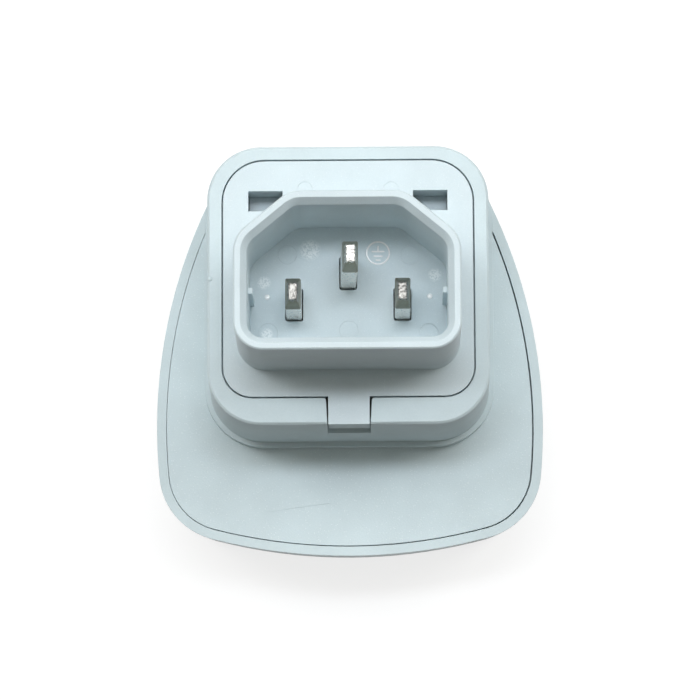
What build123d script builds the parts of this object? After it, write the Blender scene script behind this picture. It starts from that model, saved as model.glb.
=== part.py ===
"""Adapter from an appliance inlet to a universal socket, in millimetres.

The socket face lies on z = 0 and the inlet's mouth opens upwards. X is the width of the body, and
Y runs along its length towards the narrow end, where the earth pins go.
"""

import os
from math import atan, degrees, radians, tan

from build123d import *

# Body: a shallow tapered shell, from the socket face up to the rim round the back cover
body_width = 51.1
body_length = 54.6
body_depth = 16.0
body_side_radius = 70.0
widest_set = 37.3
wide_end_radius = 72.0
narrow_end_radius = 60.0
wide_corner_radius = 9.3
narrow_corner_radius = 8.5
side_draft = 5.5
face_edge_radius = 2.5
face_thickness = 2.6
rim_width = 1.25
cover_ledge = 1.2

# Back cover and its tower
cover_thickness = 2.0
cover_gap = 0.12
cover_shift = 0.07
tower_width = 36.5
tower_length = 36.5
tower_rise = 12.14
tower_height = 16.5
tower_corner_radius = 7.0
tower_wall = 2.0
tower_draft = 0.7
tower_edge_bevel = 0.3
collar_width = 0.65
collar_height = 1.5
seat_width = 0.9
floor_slot_width = 17.0
floor_slot_margin = 0.6

# Insert: the plate in the tower's mouth, with the inlet's shroud on it
side_lip = 2.05
upper_lip = 1.925
lower_lip = 3.645
insert_thickness = 1.6
insert_gap = 0.2
insert_upper_radius = 5.4
insert_lower_radius = 3.8
window_width = 4.45
window_length = 2.65
window_x = 10.7
window_y = 10.2
tongue_width = 5.35
tongue_thickness = 2.0
tongue_depth = 7.5
tongue_undercut = 0.5
tongue_gap = 0.1
notch_flare = 0.2
notch_corner_radius = 0.35

# Snap arms of the insert, whose hooks show in the windows under the cover's ledges
arm_thickness = 1.5
hook_depth = 4.9
hook_height = 1.4
hook_catch = 0.7
ledge_setback = 0.1
ledge_gap = 0.2
ledge_clearance = 0.3
ledge_root = 0.5
rest_gap = 0.8
rest_length = 5.4

# Inlet
inlet_width = 28.8
inlet_length = 20.35
inlet_offset = 1.83
inlet_depth = 17.0
inlet_wall = 1.7
inlet_cut_x = 7.1
inlet_cut_y = 5.86
inlet_upper_radius = 4.2
inlet_lower_radius = 3.7
inlet_edge_bevel = 0.22
mouth_bevel = 0.8
mouth_bevel_depth = 1.1
side_rib_proud = 0.55
side_rib_width = 0.8
side_rib_height = 9.3
side_rib_y = -1.35

# Inlet pins
pin_pitch = 14.0
pin_thickness = 2.0
pin_width = 4.0
pin_line_y = -1.65
earth_pin_y = 2.43
line_pin_height = 10.5
earth_pin_height = 15.0
earth_pin_lean = 1.6
pin_bevel_x = 0.45
pin_bevel_y = 0.93
line_bevel_height = 2.1
earth_bevel_height = 2.9
pin_slot_gap = 0.15
pin_slot_radius = 0.3
pin_block_margin = 2.5
pin_block_depth = 3.0
pin_block_radius = 1.5
flange_margin = 0.6
flange_thickness = 1.2
clamp_thickness = 1.7
tail_thickness = 0.8
tail_depth = 5.0
tail_gap = 0.2
post_radius = 1.2
post_gap = 0.1
post_x = 6.5
post_y = 4.3
post_head_radius = 1.8
post_head_height = 0.7

# Openings in the socket face, about the line that carries line and neutral
socket_set = 33.3
bar_x = 11.1
bar_width = 7.2
bar_height = 4.8
blade_x = 6.35
blade_width = 1.9
blade_height = 7.6
round_x = 9.5
round_radius = 2.55
slant_x = 7.92
slant_angle = 30.0
slant_height = 7.0
earth_bar_rise = 22.2
earth_bar_width = 4.8
earth_bar_height = 8.8
earth_round_rise = 11.9
earth_round_radius = 2.7
opening_chamfer = 0.5

# Socket contacts, bent from strip, and the straps that join them to the inlet pins
contact_gauge = 0.6
contact_room = 3.2
contact_lift = 0.2
contact_bend = 0.5
contact_outer_x = 15.4
contact_loop_y = 4.6
grip = 2.55
nip = 0.6
pocket_wall = 1.2
pocket_gap = 0.5
pocket_height = 5.0
strap_thickness = 0.8
strap_width = 3.0
strap_x = 9.8
strap_overlap = 5.5
strap_bend = 1.2
strap_fall = 1.9
strap_gap = 0.3
strap_drop = 0.8
rivet_radius = 0.9
rivet_gap = 0.03
rivet_head_radius = 1.4
rivet_head_height = 0.5

# Retainer over the contacts, and its screws
retainer_thickness = 1.4
retainer_gap = 0.2
retainer_margin = 1.2
retainer_clearance = 0.4
retainer_screw_radius = 1.0
retainer_screw_length = 6.5
retainer_head_radius = 1.9
retainer_head_height = 1.1
side_screw_x = 10.5
side_screw_rise = 19.0

# Cover screws, in the floor of the tower
cover_screw_margin = 3.3
cover_screw_drop = 2.74
cover_screw_radius = 1.3
cover_screw_length = 11.0
cover_head_radius = 2.5
cover_head_height = 1.8
boss_wall = 1.7
screw_clearance = 0.25
thread_gap = 0.03
drive_depth = 0.7
drive_width = 0.6

# Catches at the wide end of the cover
catch_x = 12.0
catch_width = 4.0
catch_thickness = 1.5
catch_depth = 6.8
catch_proud = 0.9
catch_set = 6.3
catch_gap = 0.2
catch_block_height = 2.0
catch_block_length = 2.7

# Levels above the socket face
cover_top = body_depth
cover_under = cover_top - cover_thickness
tower_top = cover_top + tower_height
plate_under = tower_top - insert_thickness
inlet_mouth = tower_top + inlet_depth
block_under = plate_under - pin_block_depth
clamp_top = block_under - flange_thickness
clamp_under = clamp_top - clamp_thickness
tail_end = clamp_top - tail_depth
strap_end = clamp_under - tail_gap
strap_level = tail_end - strap_fall
rivet_level = (tail_end + strap_end) / 2
contact_bottom = face_thickness + contact_lift
contact_top = cover_under - contact_room
contact_height = contact_top - contact_bottom
retainer_bottom = contact_top + retainer_gap
retainer_top = retainer_bottom + retainer_thickness
hook_top = tower_top - hook_depth
arm_end = hook_top - hook_height
ledge_bottom = hook_top + ledge_gap
ledge_top = plate_under - ledge_clearance

# Places worked out from the sizes above, most of them set from the narrow end
narrow_end_y = body_length / 2
body_widest_y = narrow_end_y - widest_set
socket_y = narrow_end_y - socket_set
tower_y = socket_y + tower_rise
insert_width = tower_width - 2 * side_lip
insert_length = tower_length - upper_lip - lower_lip
insert_y = tower_y + (lower_lip - upper_lip) / 2
side_screw_y = socket_y + side_screw_rise
cover_screw_y = tower_y - cover_screw_drop
catch_y = catch_set - body_length / 2
inlet_y = insert_y - inlet_offset
line_pin_x = pin_pitch / 2
line_pin_y = inlet_y + pin_line_y
earth_y = inlet_y + earth_pin_y
tower_end_y = tower_y - tower_length / 2
foot_growth = tower_height * tan(radians(tower_draft))
opening_half_width = insert_width / 2 + insert_gap
opening_top_y = insert_y + insert_length / 2 + insert_gap
opening_end_y = insert_y - insert_length / 2 - insert_gap
cavity_half_width = opening_half_width - seat_width
cavity_top_y = opening_top_y - seat_width
cavity_end_y = tower_end_y + tower_wall
cover_screw_x = cavity_half_width - cover_screw_margin
window_top_y = insert_y + window_y + window_length / 2
window_end_y = window_top_y - window_length
ledge_front_y = window_top_y + ledge_setback
hook_length = ledge_front_y + hook_catch - window_end_y
round_earth_y = socket_y + earth_round_rise
bar_earth_y = socket_y + earth_bar_rise
leaf_y = grip + contact_gauge / 2
strap_side = grip + contact_gauge + strap_thickness / 2
boss_radius = cover_screw_radius + boss_wall
retainer_boss_radius = retainer_screw_radius + boss_wall
tail_outer_x = strap_x + strap_width / 2
strap_inner_x = strap_x - strap_width / 2
block_half_width = tail_outer_x + flange_margin + flange_thickness / 2
cover_screw_places = [(-cover_screw_x, cover_screw_y), (cover_screw_x, cover_screw_y)]
retainer_screw_places = [(0, socket_y), (-side_screw_x, side_screw_y), (side_screw_x, side_screw_y)]
sides = {"line": -1, "neutral": 1}


def body_outline(inset):
    """The body's rounded wedge, drawn in by inset: four wide arcs with rounded corners between them."""
    side_x = body_side_radius - body_width / 2
    with BuildSketch() as outline:
        with Locations((-side_x, body_widest_y)):
            Circle(body_side_radius - inset)
        with Locations((side_x, body_widest_y)):
            Circle(body_side_radius - inset, mode=Mode.INTERSECT)
        with Locations((0, wide_end_radius - body_length / 2)):
            Circle(wide_end_radius - inset, mode=Mode.INTERSECT)
        with Locations((0, narrow_end_y - narrow_end_radius)):
            Circle(narrow_end_radius - inset, mode=Mode.INTERSECT)
        corners = outline.vertices().sort_by(Axis.Y)
        fillet(corners[:2], wide_corner_radius - inset)
        corners = outline.vertices().sort_by(Axis.Y)
        fillet(corners[-2:], narrow_corner_radius - inset)
    return outline.sketch


def tower_outline(grow):
    """The tower's square outline, grown by grow on every side, with its corners kept concentric."""
    with BuildSketch() as outline:
        with Locations((0, tower_y)):
            RectangleRounded(
                tower_width + 2 * grow, tower_length + 2 * grow, tower_corner_radius + grow
            )
    return outline.sketch


def insert_outline(grow):
    """The insert plate's outline, grown by grow: its corners are rounder at the narrow end."""
    with BuildSketch() as outline:
        with Locations((0, insert_y)):
            Rectangle(insert_width + 2 * grow, insert_length + 2 * grow)
        corners = outline.vertices().sort_by(Axis.Y)
        fillet(corners[:2], insert_lower_radius + grow)
        corners = outline.vertices().sort_by(Axis.Y)
        fillet(corners[-2:], insert_upper_radius + grow)
    return outline.sketch


def inlet_outline(inset):
    """The inlet's six-sided outline, drawn in by inset, with its two upper corners cut off."""
    half_x = inlet_width / 2
    half_y = inlet_length / 2
    with BuildSketch() as outline:
        with BuildLine():
            Polyline(
                (-half_x, inlet_y - half_y),
                (half_x, inlet_y - half_y),
                (half_x, inlet_y + half_y - inlet_cut_y),
                (half_x - inlet_cut_x, inlet_y + half_y),
                (-half_x + inlet_cut_x, inlet_y + half_y),
                (-half_x, inlet_y + half_y - inlet_cut_y),
                close=True,
            )
        make_face()
        corners = outline.vertices().sort_by(Axis.Y)
        fillet(corners[:2], inlet_lower_radius)
        corners = outline.vertices().sort_by(Axis.Y)
        fillet(corners[-4:], inlet_upper_radius)
        if inset:
            offset(amount=-inset)
    return outline.sketch


def bar_shape(x, y, width, height, turn):
    """A rectangle of the socket face's pin pattern, turned about its own centre."""
    with BuildSketch() as shape:
        with Locations(Location((x, y), turn)):
            Rectangle(width, height)
    return shape.sketch


def round_shape(x, y, radius):
    """A circle of the socket face's pin pattern."""
    with BuildSketch() as shape:
        with Locations((x, y)):
            Circle(radius)
    return shape.sketch


def side_shapes(side, grow):
    """What one side's opening is made of: a bar, an upright blade, a round and a slanted blade."""
    blade = blade_width + 2 * grow
    return [
        bar_shape(side * bar_x, socket_y, bar_width + 2 * grow, bar_height + 2 * grow, 0),
        bar_shape(side * blade_x, socket_y, blade, blade_height + 2 * grow, 0),
        round_shape(side * round_x, socket_y, round_radius + grow),
        bar_shape(side * slant_x, socket_y, blade, slant_height + 2 * grow, side * slant_angle),
    ]


def earth_shapes(grow):
    """What the earth opening is made of: a round at its lower end, and a long upright slot."""
    slot_top = bar_earth_y + earth_bar_height / 2 + grow
    slot_y = (slot_top + round_earth_y) / 2
    return [
        round_shape(0, round_earth_y, earth_round_radius + grow),
        bar_shape(0, slot_y, earth_bar_width + 2 * grow, slot_top - round_earth_y, 0),
    ]


def face_shapes(grow):
    """Every shape of the socket face's three openings, grown by grow."""
    return side_shapes(1, grow) + side_shapes(-1, grow) + earth_shapes(grow)


def side_contact_points(side):
    """Bends of a side contact: a leaf for blades, a loop past their end, then a hairpin for bars."""
    blade_leaf = blade_x - blade_width / 2
    loop_x = blade_x + blade_width / 2
    near_x = strap_inner_x - contact_bend
    far_x = tail_outer_x + contact_gauge / 2
    nip_x = (far_x + contact_outer_x) / 2
    points = [
        (blade_leaf - 0.1, -grip),
        (blade_leaf, 0),
        (blade_leaf - nip, contact_loop_y - 2 * nip),
        (blade_leaf + nip / 2, contact_loop_y),
        (loop_x, contact_loop_y),
        (near_x, leaf_y),
        (far_x, leaf_y),
        (nip_x, leaf_y - nip),
        (contact_outer_x, leaf_y),
        (contact_outer_x, -leaf_y),
        (nip_x, nip - leaf_y),
        (far_x, -leaf_y),
        (near_x, -leaf_y),
        (loop_x + nip / 2, -nip),
    ]
    return [(side * x, socket_y + y) for x, y in points]


def earth_contact_points():
    """Bends of the earth contact: two leaves, nipped in for the bar and joined past its end."""
    end_y = bar_earth_y + earth_bar_height / 2 + contact_gauge
    half = [
        (leaf_y + nip / 2, round_earth_y - earth_round_radius - nip),
        (leaf_y, round_earth_y - nip),
        (leaf_y, earth_y + strap_width / 2 + nip),
        (leaf_y + nip / 2, bar_earth_y - earth_bar_height / 2),
        (leaf_y - nip, bar_earth_y - nip),
        (leaf_y + nip / 2, bar_earth_y + earth_bar_height / 2 - 2 * nip),
        (leaf_y + nip / 2, end_y),
    ]
    return half + [(-x, y) for x, y in reversed(half)]


def lean_x(level):
    """How far the leaning earth pin has moved sideways at a level above the inlet's floor."""
    return (level - tower_top) * tan(radians(earth_pin_lean))


def notch_outline():
    """The notch in the tower's lip for the insert's tongue, wider towards the inside."""
    half = tongue_width / 2 + tongue_gap
    outer_y = tower_end_y - collar_width
    with BuildSketch() as outline:
        with BuildLine():
            Polyline(
                (-half - notch_flare, opening_end_y),
                (half + notch_flare, opening_end_y),
                (half, tower_end_y),
                (half, outer_y),
                (-half, outer_y),
                (-half, tower_end_y),
                close=True,
            )
        make_face()
    return outline.sketch


def side_walls(builder):
    """The upright faces of a solid, all that aren't level."""
    return builder.faces() - builder.faces().filter_by(Axis.Z)


rim_face = body_outline(0)
recess_face = body_outline(rim_width)
cover_face = body_outline(rim_width + cover_gap)
hollow_face = body_outline(rim_width + cover_ledge)
retainer_face = body_outline(rim_width + cover_ledge + retainer_margin)
tower_face = tower_outline(0)
collar_face = tower_outline(foot_growth + collar_width)
tower_mouth_face = insert_outline(insert_gap)
notch_face = notch_outline()
insert_face = insert_outline(0)
shroud_face = inlet_outline(0)
inlet_cavity_face = inlet_outline(inlet_wall)
mouth_face = inlet_outline(inlet_wall - mouth_bevel)
hole_shapes = face_shapes(0)
lead_in_shapes = face_shapes(opening_chamfer)

os.makedirs("parts", exist_ok=True)

# Pockets round the contacts, on the inside of the socket face
side_pocket_left = blade_x - blade_width / 2 - nip - contact_gauge / 2 - pocket_gap
side_pocket_right = contact_outer_x + contact_gauge / 2 + pocket_gap
side_pocket_top = socket_y + contact_loop_y + contact_gauge / 2 + pocket_gap
side_pocket_end = socket_y - blade_height / 2 - pocket_gap
side_pocket_x = (side_pocket_left + side_pocket_right) / 2
side_pocket_y = (side_pocket_top + side_pocket_end) / 2
side_pocket_width = side_pocket_right - side_pocket_left
side_pocket_length = side_pocket_top - side_pocket_end
earth_pocket_half = leaf_y + contact_gauge / 2 + strap_thickness + strap_gap
earth_pocket_top = bar_earth_y + earth_bar_height / 2 + 1.5 * contact_gauge + pocket_gap
earth_pocket_end = round_earth_y - earth_round_radius - nip - pocket_gap
earth_pocket_y = (earth_pocket_top + earth_pocket_end) / 2
earth_pocket_length = earth_pocket_top - earth_pocket_end

# Catch arms of the cover stand inside these blocks of the shell
catch_front_y = catch_y - catch_thickness / 2
block_inner_y = catch_front_y - catch_gap
catch_end = cover_under - catch_depth
barb_top = catch_end + catch_thickness + catch_gap

# Space inside the shell, tapered like its outside
with BuildPart() as shell_hollow:
    with BuildSketch(Plane.XY.offset(cover_under)):
        add(hollow_face)
    extrude(amount=face_thickness - cover_under)
    draft(side_walls(shell_hollow), Plane.XY.offset(cover_under), -side_draft)

with BuildPart() as front_shell:
    with BuildSketch():
        add(rim_face)
    extrude(amount=body_depth)
    draft(side_walls(front_shell), Plane.XY.offset(body_depth), -side_draft)
    fillet(front_shell.faces().sort_by(Axis.Z)[0].outer_wire().edges(), face_edge_radius)
    add(shell_hollow.part, mode=Mode.SUBTRACT)
    with BuildSketch(Plane.XY.offset(cover_under)):
        add(recess_face)
    extrude(amount=cover_thickness, mode=Mode.SUBTRACT)
    # Walls of the contact pockets
    with BuildSketch(Plane.XY.offset(face_thickness)):
        with Locations((-side_pocket_x, side_pocket_y), (side_pocket_x, side_pocket_y)):
            Rectangle(side_pocket_width + 2 * pocket_wall, side_pocket_length + 2 * pocket_wall)
        with Locations((0, earth_pocket_y)):
            Rectangle(2 * (earth_pocket_half + pocket_wall), earth_pocket_length + 2 * pocket_wall)
        with Locations((-side_pocket_x, side_pocket_y), (side_pocket_x, side_pocket_y)):
            Rectangle(side_pocket_width, side_pocket_length, mode=Mode.SUBTRACT)
        with Locations((0, earth_pocket_y)):
            Rectangle(2 * earth_pocket_half, earth_pocket_length, mode=Mode.SUBTRACT)
    extrude(amount=pocket_height)
    # Screw bosses
    with BuildSketch(Plane.XY.offset(face_thickness)):
        with Locations(*cover_screw_places):
            Circle(boss_radius)
    extrude(amount=cover_under - face_thickness)
    with BuildSketch(Plane.XY.offset(face_thickness)):
        with Locations(*retainer_screw_places):
            Circle(retainer_boss_radius)
    extrude(amount=retainer_bottom - face_thickness)
    # Blocks that the cover's catches hold under
    with BuildSketch(Plane.XY.offset(barb_top)):
        with Locations((-catch_x, block_inner_y), (catch_x, block_inner_y)):
            Rectangle(
                catch_width + 2 * catch_gap, catch_block_length, align=(Align.CENTER, Align.MAX)
            )
    extrude(amount=catch_block_height)
    # Pilot holes
    with BuildSketch(Plane.XY.offset(cover_under)):
        with Locations(*cover_screw_places):
            Circle(cover_screw_radius + thread_gap)
    extrude(amount=face_thickness + thread_gap - cover_under, mode=Mode.SUBTRACT)
    with BuildSketch(Plane.XY.offset(retainer_bottom)):
        with Locations(*retainer_screw_places):
            Circle(retainer_screw_radius + thread_gap)
    extrude(amount=face_thickness + thread_gap - retainer_bottom, mode=Mode.SUBTRACT)
    # Openings of the socket face, with a sloping edge
    with BuildSketch():
        for shape in hole_shapes:
            add(shape)
    extrude(amount=face_thickness, mode=Mode.SUBTRACT)
    for shape in lead_in_shapes:
        extrude(shape, amount=opening_chamfer, taper=45, mode=Mode.SUBTRACT)
front_shell.part.label = "front_shell"
export_step(front_shell.part, "parts/front_shell.step")

# Tower, whose walls spread a little towards its foot
with BuildPart() as tower:
    with BuildSketch(Plane.XY.offset(cover_top)):
        add(tower_face)
    extrude(amount=tower_height)
    draft(side_walls(tower), Plane.XY.offset(tower_top), tower_draft)
    chamfer(tower.faces().sort_by(Axis.Z)[-1].edges(), tower_edge_bevel)

# The cover lies a little to one side in its recess
with BuildPart() as back_cover:
    with BuildSketch(Plane.XY.offset(cover_under)):
        with Locations((-cover_shift, 0)):
            add(cover_face)
    extrude(amount=cover_thickness)
    add(tower.part)
    with BuildSketch(Plane.XY.offset(cover_top)):
        add(collar_face)
    extrude(amount=collar_height)
    # Inside of the tower, wider than its mouth at the lower side and narrower round the rest
    with BuildSketch(Plane.XY.offset(cover_top)):
        with Locations((0, cavity_end_y)):
            Rectangle(
                2 * cavity_half_width,
                cavity_top_y - cavity_end_y,
                align=(Align.CENTER, Align.MIN),
            )
        fillet(vertices(), tower_corner_radius - tower_wall)
    extrude(amount=plate_under - cover_top, mode=Mode.SUBTRACT)
    with BuildSketch(Plane.XY.offset(plate_under)) as tower_mouth:
        add(tower_mouth_face)
        add(notch_face)
        corners = tower_mouth.vertices().sort_by_distance((0, opening_end_y, plate_under))
        fillet(corners[:2], notch_corner_radius)
    extrude(amount=insert_thickness, mode=Mode.SUBTRACT)
    # Opening in the tower's floor, shaped like a T for the pins and straps
    floor_bar_top = socket_y + contact_loop_y + pocket_gap
    with BuildSketch(Plane.XY.offset(cover_under)):
        with Locations((0, cavity_end_y + floor_slot_margin)):
            Rectangle(
                2 * (cavity_half_width - floor_slot_margin),
                floor_bar_top - cavity_end_y - floor_slot_margin,
                align=(Align.CENTER, Align.MIN),
            )
            Rectangle(
                floor_slot_width,
                cavity_top_y - cavity_end_y - 2 * floor_slot_margin,
                align=(Align.CENTER, Align.MIN),
            )
    extrude(amount=cover_thickness, mode=Mode.SUBTRACT)
    # Notch for the insert's tongue
    with BuildSketch(Plane.XY.offset(tower_top)):
        add(notch_face)
    extrude(amount=-tongue_depth - tongue_gap, mode=Mode.SUBTRACT)
    # Ledges over the insert's hooks, and rests under its snap arms
    with BuildSketch(Plane.XY.offset(ledge_bottom)):
        with Locations((-window_x, ledge_front_y), (window_x, ledge_front_y)):
            Rectangle(
                window_width,
                cavity_top_y + ledge_root - ledge_front_y,
                align=(Align.CENTER, Align.MIN),
            )
    extrude(amount=ledge_top - ledge_bottom)
    with BuildSketch(Plane.XY.offset(cover_top)):
        with Locations((-window_x, cavity_top_y), (window_x, cavity_top_y)):
            Rectangle(window_width, rest_length, align=(Align.CENTER, Align.MAX))
    extrude(amount=arm_end - rest_gap - cover_top)
    # Screw holes through the floor
    with BuildSketch(Plane.XY.offset(cover_under)):
        with Locations(*cover_screw_places):
            Circle(cover_screw_radius + screw_clearance)
    extrude(amount=cover_thickness, mode=Mode.SUBTRACT)
    # Catch arms with their barbs
    with BuildSketch(Plane.XY.offset(cover_under)):
        with Locations((-catch_x, catch_y), (catch_x, catch_y)):
            Rectangle(catch_width, catch_thickness)
    extrude(amount=-catch_depth)
    with BuildSketch(Plane.XY.offset(catch_end)):
        with Locations((-catch_x, catch_front_y), (catch_x, catch_front_y)):
            Rectangle(catch_width, catch_proud, align=(Align.CENTER, Align.MAX))
    extrude(amount=catch_thickness)
back_cover.part.label = "back_cover"
export_step(back_cover.part, "parts/back_cover.step")

with BuildPart() as inlet_insert:
    with BuildSketch(Plane.XY.offset(plate_under)):
        add(insert_face)
        with Locations((-window_x, insert_y + window_y), (window_x, insert_y + window_y)):
            Rectangle(window_width, window_length, mode=Mode.SUBTRACT)
    extrude(amount=insert_thickness)
    with BuildSketch(Plane.XY.offset(tower_top)):
        add(shroud_face)
    extrude(amount=inlet_depth)
    chamfer(inlet_insert.faces().sort_by(Axis.Z)[-1].edges(), inlet_edge_bevel)
    with BuildSketch(Plane.XY.offset(tower_top)):
        add(inlet_cavity_face)
    extrude(amount=inlet_depth, mode=Mode.SUBTRACT)
    with BuildSketch(Plane.XY.offset(inlet_mouth)):
        add(mouth_face)
    extrude(
        amount=-mouth_bevel_depth,
        taper=degrees(atan(mouth_bevel / mouth_bevel_depth)),
        mode=Mode.SUBTRACT,
    )
    # Ribs on the inlet's side walls
    with BuildSketch(Plane.XY.offset(tower_top)):
        with Locations((0, inlet_y + side_rib_y)):
            Rectangle(inlet_width - inlet_wall, side_rib_width)
            Rectangle(
                inlet_width - 2 * (inlet_wall + side_rib_proud), side_rib_width, mode=Mode.SUBTRACT
            )
    extrude(amount=side_rib_height)
    # Block under the plate that holds the pins, with posts for the clamp
    block_end = line_pin_y - pin_width / 2 - pin_block_margin
    block_length = earth_y + pin_width / 2 + pin_block_margin - block_end
    with BuildSketch(Plane.XY.offset(block_under)):
        with Locations((0, block_end + block_length / 2)):
            RectangleRounded(2 * block_half_width, block_length, pin_block_radius)
    extrude(amount=pin_block_depth)
    with BuildSketch(Plane.XY.offset(block_under)):
        with Locations((-post_x, inlet_y + post_y), (post_x, inlet_y + post_y)):
            Circle(post_radius)
    extrude(amount=clamp_under - block_under)
    with BuildSketch(Plane.XY.offset(clamp_under)):
        with Locations((-post_x, inlet_y + post_y), (post_x, inlet_y + post_y)):
            Circle(post_head_radius)
    extrude(amount=-post_head_height)
    # Slots for the pins
    with BuildSketch(Plane.XY.offset(block_under)):
        with Locations((-line_pin_x, line_pin_y), (line_pin_x, line_pin_y), (0, earth_y)):
            RectangleRounded(
                pin_thickness + 2 * pin_slot_gap, pin_width + 2 * pin_slot_gap, pin_slot_radius
            )
    extrude(amount=tower_top - block_under, mode=Mode.SUBTRACT)
    # Tongue that lies across the tower's lip and hangs in its notch, undercut at its end
    tongue_root_y = opening_end_y + 2 * insert_gap
    with BuildSketch(Plane.YZ):
        with BuildLine():
            Polyline(
                (tongue_root_y, tower_top),
                (tower_end_y, tower_top),
                (tower_end_y + tongue_undercut, tower_top - tongue_depth),
                (tower_end_y + tongue_thickness, tower_top - tongue_depth),
                (tower_end_y + tongue_thickness, plate_under),
                (tongue_root_y, plate_under),
                close=True,
            )
        make_face()
    extrude(amount=tongue_width / 2, both=True)
    # Snap arms beside the windows, with hooks that reach across under them
    with BuildSketch(Plane.XY.offset(arm_end)):
        with Locations((-window_x, window_end_y), (window_x, window_end_y)):
            Rectangle(window_width, arm_thickness, align=(Align.CENTER, Align.MAX))
    extrude(amount=plate_under - arm_end)
    with BuildSketch(Plane.XY.offset(arm_end)):
        with Locations((-window_x, window_end_y), (window_x, window_end_y)):
            Rectangle(window_width, hook_length, align=(Align.CENTER, Align.MIN))
    extrude(amount=hook_height)
inlet_insert.part.label = "inlet_insert"
export_step(inlet_insert.part, "parts/inlet_insert.step")

for name, side in sides.items():
    with BuildPart() as side_pin:
        bevel_level = tower_top + line_pin_height - line_bevel_height
        with BuildSketch(Plane.XY.offset(clamp_top)):
            with Locations((side * line_pin_x, line_pin_y)):
                Rectangle(pin_thickness, pin_width)
        extrude(amount=bevel_level - clamp_top)
        with BuildSketch(Plane.XY.offset(bevel_level)):
            with Locations((side * line_pin_x, line_pin_y)):
                Rectangle(pin_thickness, pin_width)
        with BuildSketch(Plane.XY.offset(tower_top + line_pin_height)):
            with Locations((side * line_pin_x, line_pin_y)):
                Rectangle(pin_thickness - 2 * pin_bevel_x, pin_width - 2 * pin_bevel_y)
        loft(ruled=True)
        with BuildSketch(Plane.XY.offset(clamp_top)):
            with Locations((side * line_pin_x, line_pin_y)):
                Rectangle(pin_thickness + 2 * flange_margin, pin_width + 2 * flange_margin)
        extrude(amount=flange_thickness)
        # Flat tail, widened outwards to meet its strap
        tail_inner_x = line_pin_x - pin_thickness / 2
        with BuildSketch(Plane.XY.offset(clamp_top)):
            with Locations((side * (tail_inner_x + tail_outer_x) / 2, line_pin_y)):
                Rectangle(tail_outer_x - tail_inner_x, tail_thickness)
        extrude(amount=flange_thickness)
        with BuildSketch(Plane.XY.offset(clamp_top)):
            with Locations((side * (tail_inner_x + tail_outer_x) / 2, line_pin_y)):
                Rectangle(tail_outer_x - tail_inner_x, tail_thickness)
        extrude(amount=-tail_depth)
        with Locations(Location((side * strap_x, line_pin_y, rivet_level), (90, 0, 0))):
            Cylinder(rivet_radius + rivet_gap, pin_width, mode=Mode.SUBTRACT)
    side_pin.part.label = name + "_pin"
    export_step(side_pin.part, "parts/" + name + "_pin.step")

with BuildPart() as earth_pin:
    bevel_level = tower_top + earth_pin_height - earth_bevel_height
    with BuildSketch(Plane.XY.offset(clamp_top)):
        with Locations((0, earth_y)):
            Rectangle(pin_thickness, pin_width)
    extrude(amount=tower_top - clamp_top)
    # The blade leans a little above the inlet's floor
    with BuildSketch(Plane.XY.offset(tower_top)):
        with Locations((0, earth_y)):
            Rectangle(pin_thickness, pin_width)
    with BuildSketch(Plane.XY.offset(bevel_level)):
        with Locations((lean_x(bevel_level), earth_y)):
            Rectangle(pin_thickness, pin_width)
    loft(ruled=True)
    with BuildSketch(Plane.XY.offset(bevel_level)):
        with Locations((lean_x(bevel_level), earth_y)):
            Rectangle(pin_thickness, pin_width)
    with BuildSketch(Plane.XY.offset(tower_top + earth_pin_height)):
        with Locations((lean_x(tower_top + earth_pin_height), earth_y)):
            Rectangle(pin_thickness - 2 * pin_bevel_x, pin_width - 2 * pin_bevel_y)
    loft(ruled=True)
    with BuildSketch(Plane.XY.offset(clamp_top)):
        with Locations((0, earth_y)):
            Rectangle(pin_thickness + 2 * flange_margin, pin_width + 2 * flange_margin)
    extrude(amount=flange_thickness)
    with BuildSketch(Plane.XY.offset(clamp_top)):
        with Locations((0, earth_y)):
            Rectangle(tail_thickness, strap_width)
    extrude(amount=-tail_depth)
    with Locations(Location((0, earth_y, rivet_level), (0, 90, 0))):
        Cylinder(rivet_radius + rivet_gap, pin_width, mode=Mode.SUBTRACT)
earth_pin.part.label = "earth_pin"
export_step(earth_pin.part, "parts/earth_pin.step")

with BuildPart() as pin_clamp:
    with BuildSketch(Plane.XY.offset(clamp_under)):
        with Locations((0, block_end + block_length / 2)):
            RectangleRounded(2 * block_half_width, block_length, pin_block_radius)
        for side in sides.values():
            with Locations((side * (line_pin_x - pin_thickness / 2 + tail_outer_x) / 2, line_pin_y)):
                Rectangle(
                    tail_outer_x - line_pin_x + pin_thickness / 2 + 2 * tail_gap,
                    tail_thickness + 2 * tail_gap,
                    mode=Mode.SUBTRACT,
                )
        with Locations((0, earth_y)):
            Rectangle(
                tail_thickness + 2 * tail_gap, strap_width + 2 * tail_gap, mode=Mode.SUBTRACT
            )
        with Locations((-post_x, inlet_y + post_y), (post_x, inlet_y + post_y)):
            Circle(post_radius + post_gap, mode=Mode.SUBTRACT)
    extrude(amount=clamp_thickness)
pin_clamp.part.label = "pin_clamp"
export_step(pin_clamp.part, "parts/pin_clamp.step")

for name, side in sides.items():
    with BuildPart() as side_contact:
        with BuildSketch(Plane.XY.offset(contact_bottom)):
            with BuildLine():
                FilletPolyline(*side_contact_points(side), radius=contact_bend)
            trace(line_width=contact_gauge)
        extrude(amount=contact_height)
    side_contact.part.label = name + "_contact"
    export_step(side_contact.part, "parts/" + name + "_contact.step")

with BuildPart() as earth_contact:
    with BuildSketch(Plane.XY.offset(contact_bottom)):
        with BuildLine():
            FilletPolyline(*earth_contact_points(), radius=contact_bend)
        trace(line_width=contact_gauge)
    extrude(amount=contact_height)
earth_contact.part.label = "earth_contact"
export_step(earth_contact.part, "parts/earth_contact.step")

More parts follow.
